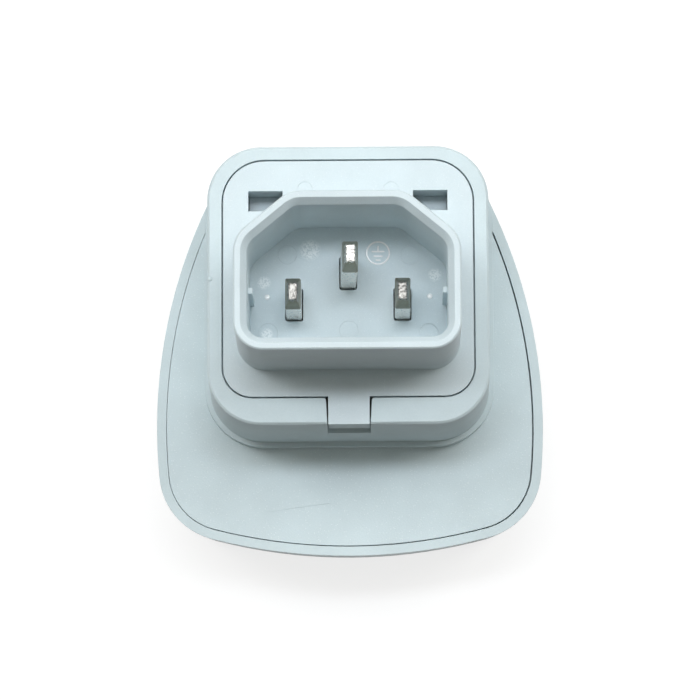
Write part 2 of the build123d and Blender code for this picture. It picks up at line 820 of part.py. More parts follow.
strap_leg_y = socket_y + strap_side
strap_tail_y = line_pin_y - (tail_thickness + strap_thickness) / 2
for name, side in sides.items():
    with BuildPart() as side_strap:
        with BuildSketch(Plane.YZ.offset(side * strap_x)):
            with BuildLine():
                FilletPolyline(
                    (strap_leg_y, contact_top - strap_overlap),
                    (strap_leg_y, strap_level),
                    (strap_tail_y, strap_level),
                    (strap_tail_y, strap_end),
                    radius=strap_bend,
                )
            trace(line_width=strap_thickness)
        extrude(amount=strap_width / 2, both=True)
        with Locations(Location((side * strap_x, strap_tail_y, rivet_level), (90, 0, 0))):
            Cylinder(rivet_radius + rivet_gap, 2 * strap_thickness, mode=Mode.SUBTRACT)
    side_strap.part.label = name + "_strap"
    export_step(side_strap.part, "parts/" + name + "_strap.step")

earth_tail_x = (tail_thickness + strap_thickness) / 2
with BuildPart() as earth_strap:
    with BuildSketch(Plane.XZ.offset(-earth_y)):
        with BuildLine():
            FilletPolyline(
                (strap_side, contact_top - strap_overlap),
                (strap_side, strap_level),
                (earth_tail_x, tail_end - strap_drop),
                (earth_tail_x, strap_end),
                radius=strap_bend,
            )
        trace(line_width=strap_thickness)
    extrude(amount=strap_width / 2, both=True)
    with Locations(Location((earth_tail_x, earth_y, rivet_level), (0, 90, 0))):
        Cylinder(rivet_radius + rivet_gap, 2 * strap_thickness, mode=Mode.SUBTRACT)
earth_strap.part.label = "earth_strap"
export_step(earth_strap.part, "parts/earth_strap.step")

# Rivets through each tail and its strap: a shank with two flat heads
joint_thickness = tail_thickness + strap_thickness
joint_y = line_pin_y - strap_thickness / 2
joint_x = strap_thickness / 2
with BuildPart() as strap_rivets:
    for side in sides.values():
        with Locations(Location((side * strap_x, joint_y, rivet_level), (90, 0, 0))):
            Cylinder(rivet_radius, joint_thickness + 2 * rivet_head_height)
        for face in (-1, 1):
            head_y = joint_y + face * (joint_thickness + rivet_head_height) / 2
            with Locations(Location((side * strap_x, head_y, rivet_level), (90, 0, 0))):
                Cylinder(rivet_head_radius, rivet_head_height)
    with Locations(Location((joint_x, earth_y, rivet_level), (0, 90, 0))):
        Cylinder(rivet_radius, joint_thickness + 2 * rivet_head_height)
    for face in (-1, 1):
        head_x = joint_x + face * (joint_thickness + rivet_head_height) / 2
        with Locations(Location((head_x, earth_y, rivet_level), (0, 90, 0))):
            Cylinder(rivet_head_radius, rivet_head_height)
strap_rivets.part.label = "strap_rivets"
export_step(strap_rivets.part, "parts/strap_rivets.step")

# Holes of the retainer, past the ends of the longest plug pins
retainer_hole_left = blade_x - blade_width / 2 - retainer_clearance
retainer_hole_right = bar_x + bar_width / 2 + retainer_clearance
retainer_hole_x = (retainer_hole_left + retainer_hole_right) / 2
retainer_hole_width = retainer_hole_right - retainer_hole_left
earth_hole_end = round_earth_y - earth_round_radius - retainer_clearance

with BuildPart() as contact_retainer:
    with BuildSketch(Plane.XY.offset(retainer_bottom)):
        add(retainer_face)
        with Locations((0, side_pocket_end - pocket_wall)):
            Rectangle(
                body_width, body_length, align=(Align.CENTER, Align.MIN), mode=Mode.INTERSECT
            )
        with Locations((-retainer_hole_x, socket_y), (retainer_hole_x, socket_y)):
            Rectangle(retainer_hole_width, blade_height + 2 * retainer_clearance, mode=Mode.SUBTRACT)
        with Locations((0, earth_hole_end)):
            Rectangle(
                earth_bar_width + 2 * retainer_clearance,
                bar_earth_y + earth_bar_height / 2 + retainer_clearance - earth_hole_end,
                align=(Align.CENTER, Align.MIN),
                mode=Mode.SUBTRACT,
            )
        for side in sides.values():
            with Locations((side * strap_x, strap_leg_y)):
                Rectangle(
                    strap_width + 2 * strap_gap,
                    strap_thickness + 2 * strap_gap,
                    mode=Mode.SUBTRACT,
                )
        with Locations((strap_side, earth_y)):
            Rectangle(
                strap_thickness + 2 * strap_gap,
                strap_width + 2 * strap_gap,
                mode=Mode.SUBTRACT,
            )
        with Locations(*cover_screw_places):
            Circle(boss_radius + screw_clearance, mode=Mode.SUBTRACT)
        with Locations(*retainer_screw_places):
            Circle(retainer_screw_radius + screw_clearance, mode=Mode.SUBTRACT)
    extrude(amount=retainer_thickness)
contact_retainer.part.label = "contact_retainer"
export_step(contact_retainer.part, "parts/contact_retainer.step")


def screws(places, head_under, shank_radius, shank_length, head_radius, head_height):
    """Round-headed screws with a cross recess, standing at places with their heads on head_under."""
    with BuildPart() as group:
        with BuildSketch(Plane.XY.offset(head_under)):
            with Locations(*places):
                Circle(head_radius)
        extrude(amount=head_height)
        with BuildSketch(Plane.XY.offset(head_under)):
            with Locations(*places):
                Circle(shank_radius)
        extrude(amount=-shank_length)
        with BuildSketch(Plane.XY.offset(head_under + head_height)):
            with Locations(*places):
                Rectangle(head_radius, drive_width)
                Rectangle(drive_width, head_radius)
        extrude(amount=-drive_depth, mode=Mode.SUBTRACT)
    return group.part


with BuildPart() as retainer_screws:
    add(
        screws(
            retainer_screw_places,
            retainer_top,
            retainer_screw_radius,
            retainer_screw_length,
            retainer_head_radius,
            retainer_head_height,
        )
    )
retainer_screws.part.label = "retainer_screws"
export_step(retainer_screws.part, "parts/retainer_screws.step")

with BuildPart() as cover_screws:
    add(
        screws(
            cover_screw_places,
            cover_top,
            cover_screw_radius,
            cover_screw_length,
            cover_head_radius,
            cover_head_height,
        )
    )
cover_screws.part.label = "cover_screws"
export_step(cover_screws.part, "parts/cover_screws.step")
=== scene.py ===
"""Finish, small relief and studio of an adapter from an appliance inlet to a universal socket.

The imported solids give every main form. This file dresses them in moulded plastic and metal, adds
the fine relief that the mould leaves, and sets up the light and the camera. Lengths are in metres.
"""

import math

import bmesh
import bpy
import numpy as np
from bpy.props import FloatProperty, FloatVectorProperty, PointerProperty
from mathutils import Matrix, Quaternion, Vector


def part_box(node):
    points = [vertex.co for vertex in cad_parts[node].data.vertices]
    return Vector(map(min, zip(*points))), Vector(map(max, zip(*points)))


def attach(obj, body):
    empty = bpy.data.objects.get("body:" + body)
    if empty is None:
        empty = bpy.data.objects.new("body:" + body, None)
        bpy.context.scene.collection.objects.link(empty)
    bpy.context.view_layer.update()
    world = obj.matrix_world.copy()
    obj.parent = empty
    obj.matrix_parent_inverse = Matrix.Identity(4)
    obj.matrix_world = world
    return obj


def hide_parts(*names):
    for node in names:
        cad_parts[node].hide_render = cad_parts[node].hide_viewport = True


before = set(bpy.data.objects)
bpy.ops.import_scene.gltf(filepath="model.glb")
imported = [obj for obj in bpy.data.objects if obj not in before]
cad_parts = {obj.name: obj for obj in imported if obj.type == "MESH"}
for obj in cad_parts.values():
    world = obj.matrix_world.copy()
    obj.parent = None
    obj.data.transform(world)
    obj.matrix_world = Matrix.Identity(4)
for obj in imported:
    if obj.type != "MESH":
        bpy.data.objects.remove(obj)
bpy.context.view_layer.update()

bl_info = {
    "name": "Inlet adapter finish",
    "version": (1, 0, 0),
    "blender": (4, 5, 0),
    "location": "3D View > Sidebar > Adapter",
    "description": "Materials, small relief and studio for a moulded power adapter",
    "category": "Object",
}

BODY = "root"
MM = 0.001

# Levels of the inlet's floor, which the tower's rim shares, and of the cover plate
FLOOR_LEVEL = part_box("back_cover")[1].z
PLATE_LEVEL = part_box("front_shell")[1].z

# Ejector rings on the floor: x and y in millimetres, and a share of the ring's radius
RING_PLACES = (
    (-7.91, 10.08, 1.0),
    (8.02, 9.97, 1.0),
    (-10.4, -0.14, 1.0),
    (0.07, 0.18, 1.0),
    (10.4, -0.28, 1.0),
    (-5.54, 18.78, 0.8),
    (5.63, 18.7, 0.8),
)

# Patches of painted glints on the floor: x, y and radius in millimetres
GLINT_PATCH_PLACES = (
    (-4.93, 10.72, 1.7),
    (-10.9, 6.42, 1.1),
    (11.24, 7.32, 1.1),
    (-10.53, -0.27, 1.0),
)

# Earth sign in millimetres: its middle, then from there each bar's y and half length, and the
# stem's two ends
SIGN_PLACE = (3.88, 10.26)
SIGN_BARS = ((0.19, 0.85), (-0.42, 0.6), (-0.95, 0.33))
SIGN_STEM = (0.19, 0.95)

# Other marks: x and y in millimetres, and sizes
DOT_PLACES = {"line_dot": (-10.5, 4.55), "neutral_dot": (10.55, 4.55)}
PIP_PLACE = (-17.89, 6.99)
PIP_RADIUS = 0.3 * MM
PIP_HEIGHT = 0.1 * MM
HAIRLINE_ENDS = ((-11.27, -21.4), (-2.69, -20.26))
HAIRLINE_WIDTH = 0.09 * MM
HAIRLINE_HEIGHT = 0.02 * MM

# Each pin's crown: its tip's brightness against the sides, half sizes of the bright part in
# millimetres, and how the torn ridges are stretched
CROWNS = {
    "line": (0.55, (0.74, 1.22, 1.2), (1.8, 1.0, 1)),
    "neutral": (0.55, (0.72, 1.22, 1.2), (1.0, 1.6, 1)),
    "earth": (1.22, (0.82, 1.14, 1.4), (0.7, 2.0, 1)),
}
CROWN_CLEARANCE = 1 * MM
CROWN_SLOPE = 0.1

# Materials: white of the grain's lighter tone and of painted glints and highlights, refractive
# index of the plastics, and the numbers between which noise mostly lies
GRAIN_AND_GLINT_WHITE = (0.90, 0.96, 0.98)
PLASTIC_INDEX = 1.49
NOISE_SPAN = (0.3, 0.7)

# Meshes: how near points of a solid or a grid are merged, which angles are flat and which are
# sharp, and how high the socket face's layer of points reaches
MERGE_SOLID = 1e-7
MERGE_GRID = 1e-8
FLAT_ANGLE = math.radians(0.6)
SHARP_ANGLE = math.radians(35)
FACE_LAYER = 0.01 * MM
EDGE_SEGMENTS = 2

# Studio: the floor's half width, sizes and places of the lamps, the key's distance and how far it
# stands to the side, and shares of the fill at the horizon and overhead
FLOOR_HALF = 1.5
WHITE = (1, 1, 1)
KEY_SIZE = (330 * MM, 75 * MM)
KEY_DISTANCE = 0.6
KEY_SIDE = -0.02
SOFT_BOX_SIZE = (1.5, 0.6)
SOFT_BOX_PLACE = (0, 0.3, 0.75)
SIDE_LAMP_SIZE = (0.3, 0.3)
SIDE_LAMP_PLACE = (0.5, 0.25, 0.42)
FILL_AT_HORIZON = 0.2
FILL_OVERHEAD = 2.2

# Camera: a point on the inlet's floor, and how far it shows beside and over the picture's middle
VIEW_POINT = (0, 7.0 * MM, FLOOR_LEVEL)
VIEW_SHIFT = (-0.233 * MM, 9.318 * MM)
SENSOR_WIDTH = 36
NEAREST_SEEN = 0.01


# Settings


def length(name, text, default):
    """A size in metres, for a property group."""
    return FloatProperty(name=name, description=text, default=default, unit="LENGTH", precision=5)


def angle(name, text, degrees):
    """An angle, for a property group."""
    return FloatProperty(name=name, description=text, default=math.radians(degrees), unit="ROTATION")


def power(name, text, watts):
    """A lamp's power, for a property group."""
    return FloatProperty(name=name, description=text, default=watts, unit="POWER")


def share(name, text, default):
    """A number without a unit, for a property group."""
    return FloatProperty(name=name, description=text, default=default, subtype="FACTOR")


def colour(name, text, default):
    """A linear colour, for a property group."""
    return FloatVectorProperty(
        name=name, description=text, default=default, subtype="COLOR", size=3, min=0, max=1
    )


class AdapterColours(bpy.types.PropertyGroup):
    """Colours of the plastics, the metals and the light."""

    shell: colour("Shell", "White of the front shell, seen as a rim", (0.595, 0.69, 0.715))
    cover: colour("Cover", "White of the back cover and its tower", (0.61, 0.71, 0.74))
    insert: colour("Insert", "White of the inlet's insert", (0.62, 0.71, 0.745))
    inner: colour("Inner plastic", "Natural plastic of the clamp and retainer", (0.62, 0.60, 0.52))
    pin: colour("Pin", "Nickel of the inlet's pins", (0.80, 0.785, 0.745))
    bevel: colour("Bevel", "Duller metal where the pins were coined", (0.37, 0.355, 0.285))
    brass: colour("Brass", "Spring brass of the contacts and straps", (0.72, 0.52, 0.24))
    rivet: colour("Rivet", "Paler brass of the rivets", (0.76, 0.62, 0.36))
    steel: colour("Steel", "Zinc plated steel of the screws", (0.60, 0.60, 0.62))
    floor: colour("Floor", "Studio floor", (0.3, 0.3, 0.3))
    key_light: colour("Key light", "Light of the key lamp", (0.865, 0.925, 1.0))
    soft_light: colour("Soft light", "Light of the overhead soft box", (1.0, 0.985, 0.93))
    fill_light: colour("Fill light", "Light from all round", (1.0, 0.975, 0.86))


class AdapterSizes(bpy.types.PropertyGroup):
    """Sizes of the fine relief."""

    housing_edge: length("Housing edge", "Rounding of the housings' edges", 0.05 * MM)
    pin_edge: length("Pin edge", "Rounding of the pins' edges", 0.2 * MM)
    ring_radius: length("Ejector ring radius", "Circle that an ejector pin leaves", 1.22 * MM)
    ring_width: length("Ejector ring width", "Width of that circle's raised line", 0.11 * MM)
    ring_height: length("Ejector ring height", "How far that line stands up", 0.035 * MM)
    sign_radius: length("Earth sign radius", "Circle round the raised earth sign", 1.46 * MM)
    sign_line: length("Earth sign line", "Width of the sign's lines", 0.24 * MM)
    sign_height: length("Earth sign height", "How far the sign stands up", 0.1 * MM)
    dot_radius: length("Pole dot radius", "Raised dot beside each pole", 0.36 * MM)
    dot_height: length("Pole dot height", "How far the dot stands up", 0.1 * MM)


class AdapterStudio(bpy.types.PropertyGroup):
    """Camera and lamps."""

    distance: length("Camera distance", "From the camera to the point it was set up on", 600 * MM)
    lens: FloatProperty(name="Lens", description="Focal length", default=238.4, unit="CAMERA")
    tilt: angle("Tilt", "Camera's tilt from straight above", 9.0)
    roll: angle("Roll", "Camera's turn about its own axis", 0.32)
    yaw: angle("Yaw", "Camera's turn to the side", -0.4)
    key_lean: angle("Key lean", "How far the key lamp stands towards the narrow end", 10.5)
    key_power: power("Key power", "Power of the key lamp", 1.29)
    soft_power: power("Soft box power", "Power of the overhead soft box", 3.3)
    side_power: power("Side power", "Power of each side lamp", 1.38)
    fill: share("Fill", "Mean strength of the light from all round", 0.10)
    backdrop: share("Backdrop", "Glow that makes the floor show as white", 0.78)


# Places and colours


def at(x, y, level):
    """A point from its x and y in millimetres and its level in metres."""
    return x * MM, y * MM, level


def scaled(shade, factor):
    """A colour made darker or lighter by a factor."""
    return tuple(min(part * factor, 1.0) for part in shade)


# Nodes of materials


def new_material(name):
    """A material with an empty node tree, and that tree."""
    material = bpy.data.materials.new(name)
    material.use_nodes = True
    tree = material.node_tree
    tree.nodes.clear()
    return material, tree


def feed(tree, socket, value):
    """Links a socket to what another node gives, or sets it to a plain value."""
    if isinstance(value, bpy.types.NodeSocket):
        tree.links.new(value, socket)
    else:
        socket.default_value = value


def add_node(tree, kind, **values):
    """A shader node. Each value is one of the node's own settings, or feeds the input of that name."""
    node = tree.nodes.new(kind)
    for key, value in values.items():
        if hasattr(node, key):
            setattr(node, key, value)
        else:
            feed(tree, node.inputs[key], value)
    return node


def object_place(tree):
    """The shaded point in the object's own coordinates."""
    return add_node(tree, "ShaderNodeTexCoord").outputs["Object"]


def stretched(tree, place, scale, shift=(0, 0, 0)):
    """A point scaled along the axes and then shifted."""
    node = add_node(tree, "ShaderNodeMapping", Vector=place, Scale=scale, Location=shift)
    return node.outputs["Vector"]


def centred(tree, place, centre, half):
    """A point measured from a centre, in multiples of the half sizes along the axes."""
    shift = tuple(-middle / reach for middle, reach in zip(centre, half))
    return stretched(tree, place, tuple(1 / reach for reach in half), shift)


def noise(tree, place, size, detail):
    """Noise in a 0 to 1 range with features of about the given size."""
    node = add_node(tree, "ShaderNodeTexNoise", Vector=place, Scale=1 / size, Detail=detail)
    return node.outputs["Fac"]


def ramp(tree, value, span, results):
    """A number that goes evenly from one result to the other while value goes over the span."""
    node = add_node(tree, "ShaderNodeMapRange", Value=value)
    for key, number in zip(("From Min", "From Max", "To Min", "To Max"), (*span, *results)):
        node.inputs[key].default_value = number
    return node.outputs["Result"]


def mixed(tree, amount, first, second):
    """A colour between two, by amount. Each is plain or comes from another node."""
    node = add_node(tree, "ShaderNodeMix", data_type="RGBA", Factor=amount)
    for key, shade in (("A", first), ("B", second)):
        from_node = isinstance(shade, bpy.types.NodeSocket)
        feed(tree, node.inputs[key], shade if from_node else (*shade, 1))
    return node.outputs["Result"]


def maths(tree, operation, first, second, clamp=False):
    """A sum on two numbers. Each is plain or comes from another node."""
    node = add_node(tree, "ShaderNodeMath", operation=operation, use_clamp=clamp)
    feed(tree, node.inputs[0], first)
    feed(tree, node.inputs[1], second)
    return node.outputs[0]


def times(tree, first, second):
    """The product of two numbers, kept between 0 and 1."""
    return maths(tree, "MULTIPLY", first, second, clamp=True)


def larger(tree, first, second):
    """The larger of two numbers."""
    return maths(tree, "MAXIMUM", first, second)


def within(tree, place, low, high):
    """1 where the height over the socket face lies between two levels, with soft edges."""
    height = add_node(tree, "ShaderNodeSeparateXYZ", Vector=place).outputs["Z"]
    soft = 0.1 * MM
    above = ramp(tree, height, (low - soft, low + soft), (0.0, 1.0))
    below = ramp(tree, height, (high - soft, high + soft), (1.0, 0.0))
    return times(tree, above, below)


def sparkles(tree, place, size, amount):
    """1 on small round specks, one in the middle of each chosen cell, and 0 elsewhere. Where the
    colour is whitened on them, they are painted glints.

    size is the cells' size and amount the share of them that has a speck.
    """
    cells = add_node(tree, "ShaderNodeTexVoronoi", Vector=place, Scale=1 / size)
    pick = add_node(tree, "ShaderNodeSeparateColor", Color=cells.outputs["Color"])
    chosen = ramp(tree, pick.outputs["Red"], (1 - amount, 1 - amount + 0.01), (0.0, 1.0))
    near = ramp(tree, cells.outputs["Distance"], (0.2, 0.45), (1.0, 0.0))
    return times(tree, near, chosen)


def glint_patch_mask(tree, place):
    """1 in the middle of the patches of painted glints on the inlet's floor, fading out round each."""
    total = None
    for x, y, radius in GLINT_PATCH_PLACES:
        away = add_node(tree, "ShaderNodeVectorMath", operation="LENGTH")
        from_middle = centred(tree, place, at(x, y, FLOOR_LEVEL), (radius * MM,) * 3)
        tree.links.new(from_middle, away.inputs[0])
        patch = ramp(tree, away.outputs["Value"], (0.0, 1.0), (1.0, 0.0))
        total = patch if total is None else larger(tree, total, patch)
    return total


def inside_ragged(tree, place, centre, half, ragged):
    """1 inside an upright box of the given half sizes, whose edge wanders by the ragged number."""
    size = add_node(tree, "ShaderNodeVectorMath", operation="ABSOLUTE")
    tree.links.new(centred(tree, place, centre, half), size.inputs[0])
    parts = add_node(tree, "ShaderNodeSeparateXYZ", Vector=size.outputs[0])
    across = larger(tree, parts.outputs["X"], larger(tree, parts.outputs["Y"], parts.outputs["Z"]))
    edge = maths(tree, "ADD", across, ramp(tree, ragged, NOISE_SPAN, (-0.16, 0.16)))
    return ramp(tree, edge, (0.94, 1.0), (1.0, 0.0))


def finish_surface(tree, surface, height, strength, depth):
    """Gives a surface its fine relief and makes it what the material shows."""
    relief = add_node(tree, "ShaderNodeBump", Strength=strength, Distance=depth, Height=height)
    tree.links.new(relief.outputs["Normal"], surface.inputs["Normal"])
    add_node(tree, "ShaderNodeOutputMaterial", Surface=surface.outputs[0])


# Plastics and metals


def moulded_plastic(name, shade, roughness, grain, grain_size, finish=None, shine=0.2):
    """White moulded plastic with faint clouds, and a fine grain that also lightens its colour.

    grain is the grain's depth, and shine how strongly the plastic reflects. finish adds what one
    piece alone has: for the cover, its spark-eroded plate below its smooth tower, with painted
    glints as white specks on the plate; for the insert, its floor with painted glints as white
    specks and in patches.
    """
    material, tree = new_material(name)
    place = object_place(tree)
    clouds = ramp(tree, noise(tree, place, 5 * MM, 3.0), NOISE_SPAN, (0.0, 1.0))
    base = mixed(tree, clouds, scaled(shade, 0.97), scaled(shade, 1.03))
    fine = noise(tree, place, grain_size, 3.0)
    base = mixed(tree, ramp(tree, fine, (0.35, 0.75), (0.0, 0.10)), base, GRAIN_AND_GLINT_WHITE)
    strength = 1.0
    if finish == "eroded_painted_glints":
        plate = within(tree, place, 0.0, PLATE_LEVEL + 0.2 * MM)
        # Painted glints: white specks in the colour of the cover's plate; its eroded relief is real bump
        glint_specks = sparkles(tree, place, size=0.19 * MM, amount=0.10)
        base = mixed(tree, times(tree, times(tree, glint_specks, plate), 0.45), base, GRAIN_AND_GLINT_WHITE)
        strength = ramp(tree, plate, (0.0, 1.0), (0.25, 1.0))
    if finish == "floor_painted_glints":
        # Painted glints: white specks in the colour of the insert
        glint_specks = sparkles(tree, place, size=0.16 * MM, amount=0.06)
        base = mixed(tree, times(tree, glint_specks, 0.35), base, GRAIN_AND_GLINT_WHITE)
        # Painted glints: patches where the floor's colour is pushed towards white
        patch = ramp(tree, glint_patch_mask(tree, place), (0.1, 0.5), (0.0, 1.0))
        glints = ramp(tree, noise(tree, place, 0.22 * MM, 2.0), (0.38, 0.56), (0.1, 1.0))
        base = mixed(tree, times(tree, times(tree, patch, glints), 0.9), base, GRAIN_AND_GLINT_WHITE)
    surface = add_node(tree, "ShaderNodeBsdfPrincipled", Roughness=roughness, IOR=PLASTIC_INDEX)
    for key, value in (
        ("Base Color", base),
        ("Specular IOR Level", shine),
        ("Subsurface Weight", 0.12),
        ("Subsurface Radius", (1.0, 0.9, 0.8)),
        ("Subsurface Scale", 0.5 * MM),
    ):
        feed(tree, surface.inputs[key], value)
    finish_surface(tree, surface, fine, strength, grain)
    return material


def strip_metal(name, shade, roughness, streak, depth=0.01 * MM):
    """Rolled or turned metal with fine streaks, which run along the axis that streak scales least."""
    material, tree = new_material(name)
    lines = noise(tree, stretched(tree, object_place(tree), streak), 0.3 * MM, 4.0)
    rough = ramp(tree, lines, NOISE_SPAN, (roughness - 0.06, roughness + 0.08))
    surface = add_node(tree, "ShaderNodeBsdfPrincipled", Metallic=1.0, Roughness=rough)
    base = mixed(tree, lines, scaled(shade, 0.8), scaled(shade, 1.1))
    tree.links.new(base, surface.inputs["Base Color"])
    finish_surface(tree, surface, lines, 0.5, depth)
    return material


def cropped_metal(name, dull_shade, bright_shade, tip, half, streak):
    """A pin's crown: dull coined slopes, and a bright tip torn off in ridges, with painted shade
    in the cracks between them.

    tip is the middle of the tip's face, half its half sizes, and streak how the ridges run.
    """
    material, tree = new_material(name)
    place = object_place(tree)
    ridges = noise(tree, stretched(tree, place, streak), 0.36 * MM, 3.0)
    mottle = noise(tree, place, 0.4 * MM, 3.0)
    dull = mixed(tree, mottle, scaled(dull_shade, 0.85), scaled(dull_shade, 1.15))
    # Painted shade: the tip's colour falls to 0.35 of itself where the ridges' relief is low
    raised = ramp(tree, ridges, (0.37, 0.55), (0.0, 1.0))
    torn = mixed(tree, raised, scaled(bright_shade, 0.35), bright_shade)
    bright = inside_ragged(tree, place, tip, half, noise(tree, place, 0.3 * MM, 2.0))
    surface = add_node(tree, "ShaderNodeBsdfPrincipled", Metallic=1.0, Roughness=0.42)
    tree.links.new(mixed(tree, bright, dull, torn), surface.inputs["Base Color"])
    finish_surface(tree, surface, times(tree, ridges, bright), 1.0, 0.16 * MM)
    return material


def dress(node, material):
    """Gives a CAD node its material."""
    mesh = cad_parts[node].data
    mesh.materials.clear()
    mesh.materials.append(material)


# Housings and pins with rounded edges


def smooth(mesh):
    """Shades all faces of a mesh smooth."""
    mesh.polygons.foreach_set("use_smooth", np.ones(len(mesh.polygons), dtype=bool))


def rounded_copy(node, edge, shade):
    """A copy of a CAD node with its triangles joined and its edges rounded, to stand for the node.

    Flat faces are made whole first, so that only true edges are rounded; the socket face, which
    has several openings, keeps its triangles. Faces that meet at less than the sharp angle belong
    to one curved surface and stay as they are.
    """
    whole = bmesh.new()
    whole.from_mesh(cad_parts[node].data)
    bmesh.ops.remove_doubles(whole, verts=whole.verts, dist=MERGE_SOLID)
    raised = [vertex for vertex in whole.verts if vertex.co.z > FACE_LAYER]
    lines = [line for line in whole.edges if max(end.co.z for end in line.verts) > FACE_LAYER]
    bmesh.ops.dissolve_limit(whole, angle_limit=FLAT_ANGLE, verts=raised, edges=lines)
    bmesh.ops.recalc_face_normals(whole, faces=whole.faces)
    mesh = bpy.data.meshes.new(f"{node}_rounded")
    whole.to_mesh(mesh)
    whole.free()
    smooth(mesh)
    mesh.materials.append(shade)
    piece = bpy.data.objects.new(f"{node}_rounded", mesh)
    bpy.context.scene.collection.objects.link(piece)
    rounding = piece.modifiers.new("edges", "BEVEL")
    rounding.width = edge
    rounding.segments = EDGE_SEGMENTS
    rounding.limit_method = "ANGLE"
    rounding.angle_limit = SHARP_ANGLE
    rounding.use_clamp_overlap = False
    shading = piece.modifiers.new("shading", "WEIGHTED_NORMAL")
    shading.weight = 100
    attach(piece, BODY)
    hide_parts(node)
    return piece


# Surfaces worked out on a grid


def grid_mesh(name, points, ring_first, ring_second):
    """A mesh from points on a grid of two parameters, closed round either of them.

    The face beside point (i, j) joins it to its neighbours at i + 1 and j + 1, and the last row or
    column joins the first where the grid closes.
    """
    rows, columns = points.shape[:2]
    i = np.arange(rows if ring_first else rows - 1)[:, None]
    j = np.arange(columns if ring_second else columns - 1)[None, :]
    after_i = (i + 1) % rows
    after_j = (j + 1) % columns
    round_face = ((i, j), (after_i, j), (after_i, after_j), (i, after_j))
    corners = [row * columns + column for row, column in round_face]
    faces = np.stack(np.broadcast_arrays(*corners), axis=-1).reshape(-1, 4)
    mesh = bpy.data.meshes.new(name)
    mesh.from_pydata(points.reshape(-1, 3).tolist(), [], faces.tolist())
    smooth(mesh)
    mesh.update()
    return mesh


def add_piece(name, mesh, material):
    """An object for a finished mesh, riding on the adapter's body."""
    mesh.materials.append(material)
    piece = bpy.data.objects.new(name, mesh)
    bpy.context.scene.collection.objects.link(piece)
    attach(piece, BODY)
    return piece


def ring_points(centre, radius, width, height, steps=96, profile=12):
    """A raised circle: an ellipse of half axes width / 2 and height, carried round a circle.

    Point (u, v) is centre + (radius + width / 2 cos v) (cos u, sin u, 0) + (0, 0, height sin v).
    """
    u = np.linspace(0, 2 * np.pi, steps, endpoint=False)[:, None]
    v = np.linspace(0, 2 * np.pi, profile, endpoint=False)[None, :]
    reach = radius + width / 2 * np.cos(v)
    points = np.stack([reach * np.cos(u), reach * np.sin(u), height * np.sin(v) + 0 * u], axis=-1)
    return points + np.array(centre)


def dome_points(centre, radius, height, steps=24, profile=9):
    """A low closed drop: an ellipse of half axes radius and height, turned about its upright axis.

    Point (u, v) is centre + (radius sin u cos v, radius sin u sin v, height cos u).
    """
    u = np.linspace(0, np.pi, profile)[:, None]
    v = np.linspace(0, 2 * np.pi, steps, endpoint=False)[None, :]
    across = radius * np.sin(u)
    points = np.stack([across * np.cos(v), across * np.sin(v), height * np.cos(u) + 0 * v], axis=-1)
    return points + np.array(centre)


def bar_points(start, end, width, height, steps=24, profile=12):
    """A raised line: an ellipse carried from start to end, whose size falls off at both ends.

    With s from -1 to 1, the ellipse's half axes are those of the middle times the sixth root of
    1 - s to the sixth, so the ends close in round points.
    """
    start, end = np.array(start), np.array(end)
    s = np.sin(np.linspace(-np.pi / 2, np.pi / 2, steps))[:, None]
    v = np.linspace(0, 2 * np.pi, profile, endpoint=False)[None, :]
    size = np.maximum(1 - s**6, 0) ** (1 / 6)
    along = (end - start) / np.linalg.norm(end - start)
    across = np.cross((0, 0, 1), along)
    middle = (start + end) / 2 + s[..., None] * (end - start) / 2
    side = (size * width / 2 * np.cos(v))[..., None] * across
    lift = (size * height * np.sin(v))[..., None] * np.array((0, 0, 1))
    return middle + side + lift


def joined(name, grids):
    """One mesh from several closed grids, each (points, closed round first, closed round second)."""
    whole = bmesh.new()
    for number, grid in enumerate(grids):
        mesh = grid_mesh(f"{name}_{number}", *grid)
        whole.from_mesh(mesh)
        bpy.data.meshes.remove(mesh)
    bmesh.ops.remove_doubles(whole, verts=whole.verts, dist=MERGE_GRID)
    bmesh.ops.recalc_face_normals(whole, faces=whole.faces)
    mesh = bpy.data.meshes.new(name)
    whole.to_mesh(mesh)
    whole.free()
    return mesh


# Operators


class ADAPTER_OT_housings(bpy.types.Operator):
    """Give the shell, the cover and the insert their white plastics"""

    bl_idname = "adapter.housings"
    bl_label = "Housings"

    def execute(self, context):
        shades = context.scene.adapter_colours
        edge = context.scene.adapter_sizes.housing_edge
        whites = {
            "front_shell": moulded_plastic(
                "shell_white", shades.shell, roughness=0.42, grain=0.004 * MM, grain_size=0.25 * MM
            ),
            "back_cover": moulded_plastic(
                "cover_white",
                shades.cover,
                roughness=0.5,
                grain=0.02 * MM,
                grain_size=0.2 * MM,
                finish="eroded_painted_glints",
            ),
            "inlet_insert": moulded_plastic(
                "insert_white",
                shades.insert,
                roughness=0.4,
                grain=0.01 * MM,
                grain_size=0.18 * MM,
                finish="floor_painted_glints",
            ),
        }
        for node, white in whites.items():
            rounded_copy(node, edge, white)
        return {"FINISHED"}


